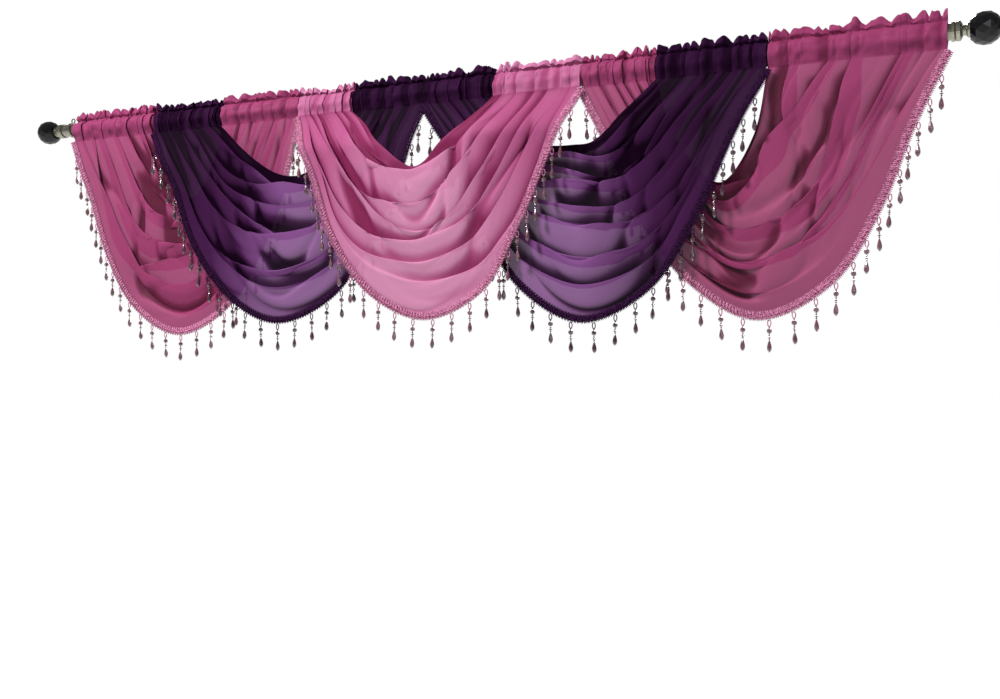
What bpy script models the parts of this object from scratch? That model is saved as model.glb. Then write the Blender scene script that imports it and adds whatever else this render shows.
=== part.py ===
"""Five sheer swags that share a curtain pole, each with a braid of bead droppers along its hem.

A swag is one sheet of voile. Both of its ends are gathered into a pocket that goes over the pole,
and between the pockets the cloth hangs in U-shaped folds, from the neck (its upper free edge) to
the hem. So every line across the sheet runs from pocket to pocket, and the lines are nested.

Metres, +Z up, +X along the pole, -Y towards the room. The origin is on the pole's axis, at its middle.
"""

import math
from collections import namedtuple

import bmesh
import bpy
import numpy as np
from mathutils import Matrix, Vector

MM = 0.001
GAP = 0.3 * MM

# The pole and its ends
POLE_RADIUS = 14 * MM
POLE_HALF_LENGTH = 975 * MM
POLE_SIDES = 24
BALL_RADIUS = 27.5 * MM
BALL_CENTRE_X = 1026 * MM
BALL_SIDES = 12
BALL_BANDS = 6
NECK_FACE_X = 1003.5 * MM
RING_X = -950 * MM
RING_WIDTH = 7 * MM
RING_WALL = 3 * MM
EYE_RADIUS = 5 * MM
EYE_WIRE_RADIUS = 1.4 * MM
EYE_SIDES = 14
EYE_WIRE_SIDES = 6
SHARP_EDGE = math.radians(35)
MERGE_DISTANCE = 0.01 * MM
# The collar's section along the pole, from the pole's end to the ball: X and radius
COLLAR_SECTION = (
    (980 * MM, 16.2 * MM),
    (981.5 * MM, 14.8 * MM),
    (983 * MM, 16.2 * MM),
    (989 * MM, 16.2 * MM),
    (991 * MM, 13.5 * MM),
    (993 * MM, 8.5 * MM),
    (998 * MM, 8.5 * MM),
    (1000 * MM, 12.0 * MM),
)
COLLAR_RADIUS = 16.2 * MM
CUP_RADIUS = 12.0 * MM

# The voile and its pockets
CLOTH_THICKNESS = 1.5 * MM
MITRE_LIMIT = 2.5
LAYER_GAP = 3.6 * MM
STITCH_Z = -30 * MM
SLEEVE_DEPTH = 23 * MM
SLEEVE_MID_Z = -3 * MM
HEADING_SEAM_Z = 23.5 * MM
HEADING_TOP_Z = 36 * MM
GATHER = 1.0 * MM
PUFF = 1.5 * MM
RUFFLE = 2.0 * MM
UNEVEN = 2.0 * MM
# Small steps in the height of the heading, column by column
HEADING_STEPS = (1.0, 0.5, 0.0)
POCKET_ROWS = 6
# The columns of a fold: its crest, its face and its trough, as shares of its width
FOLD_COLUMNS = (0.0, 0.25, 0.5)
DRAPE_ROWS = 14
MIDDLE_ROWS_CLOSER = 0.3
# From the middle of a fold to where it is as deep as at its side, as a share of the way across
SIDE_REACH = 0.35
# A place just inside the hem, from 0 at the neck to 1 at the hem
INSIDE_HEM = 0.97
FOLD_FADE = 200 * MM

# How far in front of the pole's axis a swag hangs, by its layer: at the stitch line, and lower down
LAYER_STITCH_Y = (0 * MM, -6 * MM, -12 * MM)
LAYER_HANG_Y = (-12 * MM, -32 * MM, -52 * MM)
LAYER_DROP = 120 * MM

# The braid on the hem and its droppers
BRAID_WIDTH = 14 * MM
BRAID_THICKNESS = 3 * MM
BRAID_START = 20 * MM
DROPPER_PITCH = 41 * MM
DROPPER_ROOT = 4 * MM
DROPPER_SWING = 3 * MM
DROPPER_STAND_OFF = 3 * MM
# Each row is a ring of a dropper: how far it is below the braid, and its half width
DROPPER_RINGS = ((7 * MM, 0.9 * MM), (15 * MM, 4.2 * MM), (24 * MM, 0.9 * MM), (43 * MM, 4.0 * MM))
DROPPER_LENGTH = 53 * MM

# A fold: its share of the way from the neck to the hem, how deep it is in mm, and how far it rolls
# over its neighbour as a share of its own width, each at the left, in the middle and at the right
Fold = namedtuple("Fold", "share depth roll")
# pockets: X of the left pocket's outer and inner end, then the right pocket's inner and outer end.
# neck and hem: points (X, Z) of the free edges, from the left pocket to the right one. All in mm
Swag = namedtuple("Swag", "name shade layer pockets neck hem folds")

SWAGS = (
    Swag(
        name="swag_1",
        shade="pink",
        layer=0,
        pockets=(-929, -690, -500, -298),
        neck=((-655, -115), (-590, -180), (-530, -115)),
        hem=(
            (-872, -160), (-818, -295), (-740, -415), (-612, -475),
            (-480, -415), (-394, -300), (-335, -165),
        ),
        folds=(
            Fold(0.20, (7, 7, 4), (0.30, 0.36, 0.25)),
            Fold(0.22, (8, 8, 4), (0.35, 0.42, 0.28)),
            Fold(0.22, (8, 7, 4), (0.35, 0.40, 0.30)),
            Fold(0.18, (6, 6, 4), (0.30, 0.38, 0.25)),
        ),
    ),
    Swag(
        name="swag_2",
        shade="purple",
        layer=1,
        pockets=(-684, -506, -160, -2),
        neck=((-425, -95), (-345, -146), (-270, -150), (-210, -105)),
        hem=(
            (-612, -150), (-556, -280), (-467, -395), (-338, -453),
            (-205, -402), (-113, -290), (-46, -165),
        ),
        folds=(
            Fold(0.13, (5, 6, 6), (0.25, 0.42, 0.34)),
            Fold(0.16, (6, 7, 6), (0.30, 0.46, 0.36)),
            Fold(0.18, (7, 6, 6), (0.32, 0.40, 0.36)),
            Fold(0.17, (7, 6, 5), (0.32, 0.42, 0.36)),
            Fold(0.15, (5, 5, 4), (0.25, 0.36, 0.32)),
        ),
    ),
    Swag(
        name="swag_3",
        shade="pink",
        layer=2,
        pockets=(-292, -166, 160, 331),
        neck=((-125, -62), (-78, -108), (-4, -158), (60, -112), (115, -68)),
        hem=(
            (-233, -152), (-185, -282), (-104, -393), (22, -450),
            (147, -399), (220, -283), (280, -157),
        ),
        folds=(
            Fold(0.15, (6, 4, 5), (0.32, 0.28, 0.25)),
            Fold(0.17, (7, 4, 6), (0.42, 0.24, 0.30)),
            Fold(0.17, (7, 3, 6), (0.42, 0.22, 0.30)),
            Fold(0.17, (7, 3, 6), (0.40, 0.24, 0.32)),
            Fold(0.14, (5, 3, 4), (0.28, 0.18, 0.22)),
        ),
    ),
    Swag(
        name="swag_4",
        shade="purple",
        layer=1,
        pockets=(9, 154, 483, 677),
        neck=((205, -80), (262, -130), (325, -138), (372, -132), (425, -80)),
        hem=(
            (88, -145), (146, -275), (224, -394), (347, -459),
            (473, -400), (555, -283), (616, -153),
        ),
        folds=(
            Fold(0.14, (6, 5, 5), (0.36, 0.40, 0.22)),
            Fold(0.17, (7, 6, 6), (0.37, 0.42, 0.28)),
            Fold(0.17, (7, 6, 7), (0.36, 0.34, 0.28)),
            Fold(0.17, (6, 5, 7), (0.36, 0.40, 0.30)),
            Fold(0.15, (5, 5, 5), (0.32, 0.34, 0.24)),
        ),
    ),
    Swag(
        name="swag_5",
        shade="pink",
        layer=0,
        pockets=(343, 477, 683, 970),
        neck=((520, -145), (595, -222), (655, -145)),
        hem=(
            (402, -153), (460, -280), (546, -391), (663, -457),
            (786, -399), (861, -281), (912, -151),
        ),
        folds=(
            Fold(0.19, (6, 6, 8), (0.40, 0.36, 0.30)),
            Fold(0.22, (7, 7, 8), (0.44, 0.40, 0.32)),
            Fold(0.22, (7, 7, 8), (0.42, 0.40, 0.32)),
            Fold(0.18, (6, 6, 6), (0.36, 0.36, 0.28)),
        ),
    ),
)

# Each row: base colour, roughness, metallic
FINISHES = {
    "voile_pink": ((0.42, 0.075, 0.21), 0.75, 0.0),
    "voile_purple": ((0.058, 0.014, 0.10), 0.75, 0.0),
    "braid_pink": ((0.50, 0.11, 0.26), 0.85, 0.0),
    "braid_purple": ((0.045, 0.010, 0.075), 0.85, 0.0),
    "nickel": ((0.62, 0.60, 0.52), 0.28, 1.0),
    "black_glass": ((0.006, 0.006, 0.006), 0.05, 0.0),
}


def material(name):
    """The Principled material of that name, made once."""
    made = bpy.data.materials.get(name)
    if made is None:
        colour, roughness, metallic = FINISHES[name]
        made = bpy.data.materials.new(name)
        made.use_nodes = True
        shader = made.node_tree.nodes["Principled BSDF"]
        shader.inputs["Base Color"].default_value = (*colour, 1.0)
        shader.inputs["Roughness"].default_value = roughness
        shader.inputs["Metallic"].default_value = metallic
        made.diffuse_color = (*colour, 1.0)
    return made


def object_of(name, mesh, finish):
    """A new object with that mesh and material, linked to the scene."""
    mesh.materials.clear()
    mesh.materials.append(material(finish))
    made = bpy.data.objects.new(name, mesh)
    bpy.context.scene.collection.objects.link(made)
    return made


def mesh_of(bm, name):
    """Turns a bmesh into a mesh with its faces pointing out."""
    bmesh.ops.recalc_face_normals(bm, faces=bm.faces)
    mesh = bpy.data.meshes.new(name)
    bm.to_mesh(mesh)
    bm.free()
    return mesh


def smoothstep(t):
    t = np.clip(t, 0.0, 1.0)
    return t * t * (3 - 2 * t)


def rounded(points, steps=24):
    """A Catmull-Rom curve through the points, close enough together to be read as smooth."""
    p = np.array(points, float)
    p = np.vstack([2 * p[0] - p[1], p, 2 * p[-1] - p[-2]])
    t = np.linspace(0, 1, steps, endpoint=False)[:, None]
    spans = []
    for a, b, c, d in zip(p, p[1:], p[2:], p[3:]):
        bend = (2 * a - 5 * b + 4 * c - d) * t**2 + (3 * b - a - 3 * c + d) * t**3
        spans.append(b + 0.5 * ((c - a) * t + bend))
    return np.vstack([*spans, p[-2]])


def along(curve, share):
    """The points of a curve at these shares of its length."""
    steps = np.linalg.norm(np.diff(curve, axis=0), axis=1)
    length = np.concatenate([[0], np.cumsum(steps)])
    at = np.asarray(share) * length[-1]
    return np.stack([np.interp(at, length, curve[:, k]) for k in range(curve.shape[1])], axis=-1)


def free_edge(swag, inner):
    """The neck or the hem of a swag, in metres, from its left pocket to its right one."""
    left_outer, left_inner, right_inner, right_outer = swag.pockets
    ends = (left_inner, right_inner) if inner else (left_outer, right_outer)
    points = swag.neck if inner else swag.hem
    stitch = STITCH_Z / MM
    return rounded([(ends[0], stitch), *points, (ends[1], stitch)]) * MM


def hang_y(z, layer):
    """The depth at which the cloth of a layer hangs at height z."""
    down = smoothstep((STITCH_Z - z) / LAYER_DROP)
    return LAYER_STITCH_Y[layer] + (LAYER_HANG_Y[layer] - LAYER_STITCH_Y[layer]) * down


def three_way(values, across):
    """A value that goes from its left to its middle to its right one, across being 0 to 1."""
    left, middle, right = values
    side = np.where(across < 0.5, left, right)
    return middle + (side - middle) * smoothstep(np.abs(across - 0.5) / SIDE_REACH)


def fold_starts(swag):
    """Where each fold's crest lies, from 0 at the neck to 1 at the hem, and where the last one ends."""
    return np.concatenate([[0], np.cumsum([fold.share for fold in swag.folds])])


def cloth_at(swag, down, across):
    """Points of the sheet. down is 0 at the neck and 1 at the hem, across 0 at the left pocket and
    1 at the right one. Both are arrays of one shape.

    A fold is a wave of the sheet towards the hem and back, and of its depth. Its crest is the upper
    edge, in front, and its trough lies lower, behind the crest of the next fold."""
    starts = fold_starts(swag)
    phase = 2 * math.pi * np.interp(down, starts, np.arange(len(starts))) - math.pi / 2
    centres = np.concatenate([[0], starts[:-1] + np.diff(starts) / 2, [1]])
    depths = np.array([three_way(fold.depth, across) for fold in swag.folds])
    rolls = np.array([three_way(fold.roll, across) * fold.share for fold in swag.folds])
    depth = blend_rows(centres, [depths[0], *depths, np.zeros_like(across)], down) * MM
    roll = blend_rows(centres, [np.zeros_like(across), *rolls, np.zeros_like(across)], down)
    neck = along(free_edge(swag, True), across)
    hem = along(free_edge(swag, False), across)
    flat = neck + (hem - neck) * down[..., None]
    fade = smoothstep((STITCH_Z - flat[..., 1]) / FOLD_FADE)
    shifted = down + roll * fade**2 * np.sin(phase)
    plane = neck + (hem - neck) * shifted[..., None]
    y = hang_y(plane[..., 1], swag.layer) + depth * fade * np.sin(phase)
    return np.stack([plane[..., 0], y, plane[..., 1]], axis=-1)


def blend_rows(centres, rows, down):
    """Linear blend of whole rows of values: rows[k] holds at down == centres[k]."""
    rows = np.array([np.broadcast_to(row, down.shape) for row in rows])
    place = np.interp(down, centres, np.arange(len(centres)))
    low = np.minimum(place.astype(int), len(centres) - 2)
    share = place - low
    first = np.take_along_axis(rows, low[None], axis=0)[0]
    second = np.take_along_axis(rows, low[None] + 1, axis=0)[0]
    return first + (second - first) * share


def column_places(swag):
    """The sheet's columns from neck to hem: crest, face and trough of each fold, then the hem."""
    starts = fold_starts(swag)
    places = []
    for start, end in zip(starts, starts[1:]):
        places += [start + share * (end - start) for share in FOLD_COLUMNS]
    return np.array([*places, starts[-1], 1.0])


def row_places():
    """Where the sheet's rows lie between the pockets, closer together in the middle of the U."""
    even = np.linspace(0, 1, DRAPE_ROWS + 1)
    return even + MIDDLE_ROWS_CLOSER * np.sin(2 * math.pi * even) / (2 * math.pi)


def pocket_rows(swag, columns, ends):
    """The rows of one pocket, from the drape up the front, over the heading and down the back.
    ends are the X of the pocket's inner and outer end."""
    odd = np.arange(len(columns)) % 2
    wave = 2.0 * odd - 1.0
    x = (ends[0] + (ends[1] - ends[0]) * columns) * MM
    stitch_y = LAYER_STITCH_Y[swag.layer]
    uneven = np.resize(HEADING_STEPS, len(columns))
    profile = (
        (-SLEEVE_DEPTH - PUFF * odd, np.full_like(x, SLEEVE_MID_Z)),
        (-LAYER_GAP / 2 + RUFFLE * wave, np.full_like(x, HEADING_SEAM_Z)),
        (RUFFLE * wave, HEADING_TOP_Z + UNEVEN * uneven),
        (LAYER_GAP / 2 + RUFFLE * wave, np.full_like(x, HEADING_SEAM_Z)),
        (SLEEVE_DEPTH + PUFF * (1 - odd), np.full_like(x, SLEEVE_MID_Z)),
        (stitch_y + LAYER_GAP + GATHER * wave, np.full_like(x, STITCH_Z)),
    )
    return [np.stack([x, y, z], axis=-1) for y, z in profile]


def sheet_rows(swag):
    """All rows of the sheet, from the back of the left pocket to the back of the right one."""
    columns = column_places(swag)
    wave = 2.0 * (np.arange(len(columns)) % 2) - 1.0
    left_outer, left_inner, right_inner, right_outer = swag.pockets
    drape = []
    for across in row_places():
        row = cloth_at(swag, columns, np.full_like(columns, across))
        if across in (0.0, 1.0):
            row[:, 1] += GATHER * wave
        drape.append(row)
    left = pocket_rows(swag, columns, (left_inner, left_outer))
    right = pocket_rows(swag, columns, (right_inner, right_outer))
    return [*left[::-1], *drape, *right]


def leans_back(r, c, count):
    """Which way a cell of the sheet is halved. Two layers that lie close together, as at the front and
    back of a heading or on both sides of a fold's edge, mirror each other, so they can't cross."""
    if r < POCKET_ROWS or r >= count - 1 - POCKET_ROWS:
        from_end = min(r, count - 2 - r)
        return (from_end >= POCKET_ROWS / 2) == (r < POCKET_ROWS)
    return c % len(FOLD_COLUMNS) == len(FOLD_COLUMNS) - 1


def unit(vectors):
    return vectors / np.linalg.norm(vectors, axis=-1)[..., None]


def sheet_normals(rows):
    """The direction across the sheet at each of its points, also where it bends sharply: the mean of
    the directions across the cells around the point, longer in a sharp bend as in a mitre. On top of
    a heading it is along the heading."""
    padded = np.pad(rows, ((1, 1), (1, 1), (0, 0)), mode="reflect", reflect_type="odd")
    here = padded[1:-1, 1:-1]
    up_rows = (here - padded[:-2, 1:-1], padded[2:, 1:-1] - here)
    up_columns = (here - padded[1:-1, :-2], padded[1:-1, 2:] - here)
    mean = sum(unit(np.cross(dr, dc)) for dr in up_rows for dc in up_columns) / 4
    normals = unit(mean) / np.maximum(np.linalg.norm(mean, axis=-1), 1 / MITRE_LIMIT)[..., None]
    half = POCKET_ROWS // 2
    for top in (half, len(rows) - 1 - half):
        normals[top] = unit((rows[top - 1] + rows[top + 1]) / 2 - rows[top])
    return normals


def make_cloth(swag):
    """The sheet as a solid: two skins, half a thickness to each side of the rows, and a rim."""
    rows = np.array(sheet_rows(swag))
    count, width, _ = rows.shape
    offset = sheet_normals(rows) * CLOTH_THICKNESS / 2
    bm = bmesh.new()
    skins = [[[bm.verts.new(point) for point in row] for row in rows + way * offset] for way in (1, -1)]
    for grid in skins:
        for r in range(count - 1):
            for c in range(width - 1):
                a, b, d, e = grid[r][c], grid[r][c + 1], grid[r + 1][c + 1], grid[r + 1][c]
                halves = ((a, b, e), (b, d, e)) if leans_back(r, c, count) else ((a, b, d), (a, d, e))
                for half in halves:
                    bm.faces.new(half)
    rims = [[grid[r][c] for r, c in rim_places(count, width)] for grid in skins]
    for a, b, d, e in zip(rims[0], rims[0][1:] + rims[0][:1], rims[1][1:] + rims[1][:1], rims[1]):
        bm.faces.new((a, b, d, e))
    cloth = object_of(swag.name, mesh_of(bm, swag.name), "voile_" + swag.shade)
    cloth.data.shade_smooth()


def rim_places(count, width):
    """The places around the edge of the sheet, in order."""
    top = [(0, c) for c in range(width)]
    right = [(r, width - 1) for r in range(1, count)]
    bottom = [(count - 1, c) for c in range(width - 2, -1, -1)]
    left = [(r, 0) for r in range(count - 2, 0, -1)]
    return top + right + bottom + left


def hem_frame(swag):
    """For each row of the drape: its point on the hem, and the direction away from the cloth."""
    across = row_places()
    hem = cloth_at(swag, np.ones_like(across), across)
    inside = cloth_at(swag, np.full_like(across, INSIDE_HEM), across)
    away = hem - inside
    away[:, 1] = 0.0
    away /= np.linalg.norm(away, axis=1)[:, None]
    return hem, away


def braid_stations(length):
    """Places along the braid that need a ring of points, and which of them start a dropper."""
    count = int((length - 2 * BRAID_START) / DROPPER_PITCH)
    first = (length - (count - 1) * DROPPER_PITCH) / 2
    centres = first + DROPPER_PITCH * np.arange(count)
    return centres - DROPPER_ROOT / 2, centres + DROPPER_ROOT / 2


def make_braid(swag):
    """The braid as a strip below the hem, with its droppers drawn out of the strip's outer face."""
    hem, away = hem_frame(swag)
    length = np.concatenate([[0], np.cumsum(np.linalg.norm(np.diff(hem, axis=0), axis=1))])
    roots, root_ends = braid_stations(length[-1])
    corners = [at for at in length[1:-1] if np.abs((roots + root_ends) / 2 - at).min() > DROPPER_ROOT]
    stations = sorted([BRAID_START, length[-1] - BRAID_START, *corners, *roots, *root_ends])
    bm = bmesh.new()
    rings = []
    outs = []
    for at in stations:
        point = Vector([np.interp(at, length, hem[:, k]) for k in range(3)])
        out = Vector([np.interp(at, length, away[:, k]) for k in range(3)]).normalized()
        front = Vector((0, -BRAID_THICKNESS / 2, 0))
        near, far = point + out * (GAP + CLOTH_THICKNESS / 2), point + out * BRAID_WIDTH
        rings.append([bm.verts.new(p) for p in (near + front, near - front, far - front, far + front)])
        outs.append(out)
    droppers = 0
    for at, out, ring, after in zip(stations, outs, rings, rings[1:]):
        for side, other in ((0, 1), (1, 2), (3, 0)):
            bm.faces.new((ring[side], ring[other], after[other], after[side]))
        outer_face = (ring[2], ring[3], after[3], after[2])
        if at in roots:
            swing = DROPPER_SWING * (1 if droppers % 2 else -1)
            draw_dropper(bm, outer_face, out, swing, swag.layer)
            droppers += 1
        else:
            bm.faces.new(outer_face)
    bm.faces.new(rings[0])
    bm.faces.new(rings[-1])
    return object_of(swag.name + "_braid", mesh_of(bm, swag.name + "_braid"), "braid_" + swag.shade)


def draw_dropper(bm, root, out, swing, layer):
    """A strand of four sides that hangs from the quad root: a thread, a bead, a thread and a drop.
    It leans on the cloth of the layer below, so it comes forward as that does."""
    start = sum((vert.co for vert in root), Vector()) / 4 + out * DROPPER_STAND_OFF
    lean = start.y - float(hang_y(start.z, layer)) + swing
    ring = list(root)
    for depth, half in DROPPER_RINGS:
        z = start.z - depth
        centre = Vector((start.x, float(hang_y(z, layer)) + lean, z))
        corners = ((-half, half), (-half, -half), (half, -half), (half, half))
        lower = [bm.verts.new(centre + Vector((dx, dy, 0))) for dx, dy in corners]
        for k in range(4):
            bm.faces.new((ring[k], ring[(k + 1) % 4], lower[(k + 1) % 4], lower[k]))
        ring = lower
    z = start.z - DROPPER_LENGTH
    tip = bm.verts.new((start.x, float(hang_y(z, layer)) + lean, z))
    for k in range(4):
        bm.faces.new((ring[k], ring[(k + 1) % 4], tip))


def turned(name, profile, sides, finish):
    """A solid turned about the X axis from a profile of (x, radius) that starts and ends on it."""
    bm = bmesh.new()
    points = [bm.verts.new((x, 0, radius)) for x, radius in profile]
    edges = [bm.edges.new(pair) for pair in zip(points, points[1:])]
    bmesh.ops.spin(
        bm,
        geom=points + edges,
        cent=(0, 0, 0),
        axis=(1, 0, 0),
        angle=2 * math.pi,
        steps=sides,
        use_merge=True,
    )
    bmesh.ops.remove_doubles(bm, verts=bm.verts, dist=MERGE_DISTANCE)
    made = object_of(name, mesh_of(bm, name), finish)
    made.data.shade_smooth()
    made.data.set_sharp_from_angle(angle=SHARP_EDGE)
    return made


def make_pole():
    end = POLE_HALF_LENGTH
    profile = ((-end, 0), (-end, POLE_RADIUS), (end, POLE_RADIUS), (end, 0))
    turned("pole", profile, POLE_SIDES, "nickel")


def make_collar(name, side):
    """The cap on the pole's end, with a groove, a thin neck and the cup that the ball sits in."""
    start = POLE_HALF_LENGTH + GAP
    inner_end = ((start, 0), (start, COLLAR_RADIUS))
    outer_end = ((NECK_FACE_X, CUP_RADIUS), (NECK_FACE_X, 0))
    profile = [(side * x, radius) for x, radius in (*inner_end, *COLLAR_SECTION, *outer_end)]
    turned(name, profile, POLE_SIDES, "nickel")


def make_ball(name, side):
    """A cut-glass ball: bands of flat triangles, with a flat where it sits in the cup."""
    flat = NECK_FACE_X + GAP - BALL_CENTRE_X
    first = math.acos(-flat / BALL_RADIUS)
    bm = bmesh.new()
    rings = []
    for band in range(BALL_BANDS):
        angle = first + (math.pi - first) * band / BALL_BANDS
        turn = math.pi / BALL_SIDES * (band % 2)
        x, radius = -BALL_RADIUS * math.cos(angle), BALL_RADIUS * math.sin(angle)
        steps = [turn + 2 * math.pi * k / BALL_SIDES for k in range(BALL_SIDES)]
        rings.append([bm.verts.new((x, radius * math.cos(a), radius * math.sin(a))) for a in steps])
    for band, (ring, after) in enumerate(zip(rings, rings[1:])):
        for k in range(BALL_SIDES):
            ahead = (k + 1) % BALL_SIDES
            if band % 2:
                bm.faces.new((ring[k], ring[ahead], after[ahead]))
                bm.faces.new((ring[k], after[ahead], after[k]))
            else:
                bm.faces.new((ring[k], ring[ahead], after[k]))
                bm.faces.new((ring[ahead], after[ahead], after[k]))
    tip = bm.verts.new((BALL_RADIUS, 0, 0))
    for k in range(BALL_SIDES):
        bm.faces.new((rings[-1][k], rings[-1][(k + 1) % BALL_SIDES], tip))
    bm.faces.new(rings[0])
    turn_round = Matrix.Rotation(math.pi if side < 0 else 0.0, 4, "Z")
    bm.transform(Matrix.Translation((side * BALL_CENTRE_X, 0, 0)) @ turn_round)
    object_of(name, mesh_of(bm, name), "black_glass")


def make_end_ring():
    """The ring on the pole between the first swag and the left collar, with its eye on top."""
    inside = POLE_RADIUS + GAP
    outside = inside + RING_WALL
    half = RING_WIDTH / 2
    bm = bmesh.new()
    corners = ((-half, inside), (-half, outside), (half, outside), (half, inside))
    points = [bm.verts.new((RING_X + x, 0, radius)) for x, radius in corners]
    edges = [bm.edges.new((a, b)) for a, b in zip(points, [*points[1:], points[0]])]
    bmesh.ops.spin(
        bm,
        geom=points + edges,
        cent=(0, 0, 0),
        axis=(1, 0, 0),
        angle=2 * math.pi,
        steps=POLE_SIDES,
        use_merge=True,
    )
    bmesh.ops.remove_doubles(bm, verts=bm.verts, dist=MERGE_DISTANCE)
    ring = object_of("end_ring", mesh_of(bm, "end_ring"), "nickel")
    bpy.ops.mesh.primitive_torus_add(
        major_segments=EYE_SIDES,
        minor_segments=EYE_WIRE_SIDES,
        major_radius=EYE_RADIUS,
        minor_radius=EYE_WIRE_RADIUS,
        location=(RING_X, 0, outside + EYE_RADIUS - EYE_WIRE_RADIUS / 2),
        rotation=(math.pi / 2, 0, 0),
    )
    eye = bpy.context.object
    eye.name = "eye_guide"
    eye.hide_render = True
    eye.display_type = "WIRE"
    union = ring.modifiers.new("eye", "BOOLEAN")
    union.operation = "UNION"
    union.object = eye


def main():
    for old in list(bpy.data.objects):
        bpy.data.objects.remove(old)
    make_pole()
    for side, name in ((-1, "left"), (1, "right")):
        make_collar("collar_" + name, side)
        make_ball("ball_" + name, side)
    make_end_ring()
    for swag in SWAGS:
        make_cloth(swag)
        make_braid(swag)


main()
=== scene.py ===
import math
from collections import namedtuple

import bpy
import numpy as np
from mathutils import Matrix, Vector


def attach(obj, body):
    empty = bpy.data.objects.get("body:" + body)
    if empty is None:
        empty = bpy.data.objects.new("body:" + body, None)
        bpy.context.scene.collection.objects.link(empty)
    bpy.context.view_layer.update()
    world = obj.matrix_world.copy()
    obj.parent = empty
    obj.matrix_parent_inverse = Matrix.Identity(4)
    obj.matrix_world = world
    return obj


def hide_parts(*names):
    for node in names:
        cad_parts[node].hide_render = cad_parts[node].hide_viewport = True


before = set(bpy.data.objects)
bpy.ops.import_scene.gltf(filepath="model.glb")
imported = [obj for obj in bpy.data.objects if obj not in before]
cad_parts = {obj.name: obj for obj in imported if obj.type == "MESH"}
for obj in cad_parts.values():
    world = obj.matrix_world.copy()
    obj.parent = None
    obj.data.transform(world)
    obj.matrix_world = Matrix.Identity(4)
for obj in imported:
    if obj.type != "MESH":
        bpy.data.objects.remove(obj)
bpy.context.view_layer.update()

MM = 0.001

# Where the cloth hangs, as in the solids
STITCH_Z = -30 * MM
LAYER_STITCH_Y = (-13 * MM, -16.5 * MM, -20 * MM)
LAYER_HANG_Y = (-12 * MM, -32 * MM, -52 * MM)
LAYER_DROP = 85 * MM

# The sheet's grid: columns from neck to hem, rows across, rows round each half of a pocket, and how
# much closer the rows across lie at the pockets and in the middle
COLUMNS = 215
ROWS = 158
POCKET_ROWS = 26
ROWS_CLOSER = 0.35
# The neck's hem is folded back: its columns, its width as a share of neck to hem, how far behind the
# cloth it lies, and the share of that at its turn
NECK_HEM_COLUMNS = 5
NECK_HEM_WIDTH = 0.03
NECK_HEM_GAP = 0.7 * MM
NECK_HEM_TURN = 0.8

# A fold's line is at these shares of the way across
STATIONS = (0.0, 0.25, 0.5, 0.75, 1.0)
# path: the fold's share of the way from neck to hem at each station. strength: how much of it shows
# there. width: half its width as a share of neck to hem. roll: how far its cloth folds over itself,
# little where it crosses other folds
Fold = namedtuple("Fold", "path strength width roll", defaults=(1.0,))
# A long hollow between two bundles of folds. start, end: shares (down, across). width: half of it, as a
# share of neck to hem. depth: in metres. Its depth also darkens it with painted valley shade
Hollow = namedtuple("Hollow", "start end width depth")
# layer: 0 hangs nearest the wall. pockets: X of the left pocket's outer and inner end, then the right
# pocket's inner and outer end. neck and hem: points (X, Z) of the free edges, from the left pocket to
# the right one. headings: the ruffle's height at the four ends of the pockets. All these are in mm.
# reach: how far the gathers run out of the left and the right pocket, as a share of the way across.
# dense, and the valley's painted shade: how dense the cloth looks where it is gathered, and how much darker a
# valley is painted, as painted shade
Swag = namedtuple(
    "Swag",
    "name shade layer pockets neck hem headings reach dense valley folds hollows",
    defaults=((),),
)

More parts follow.
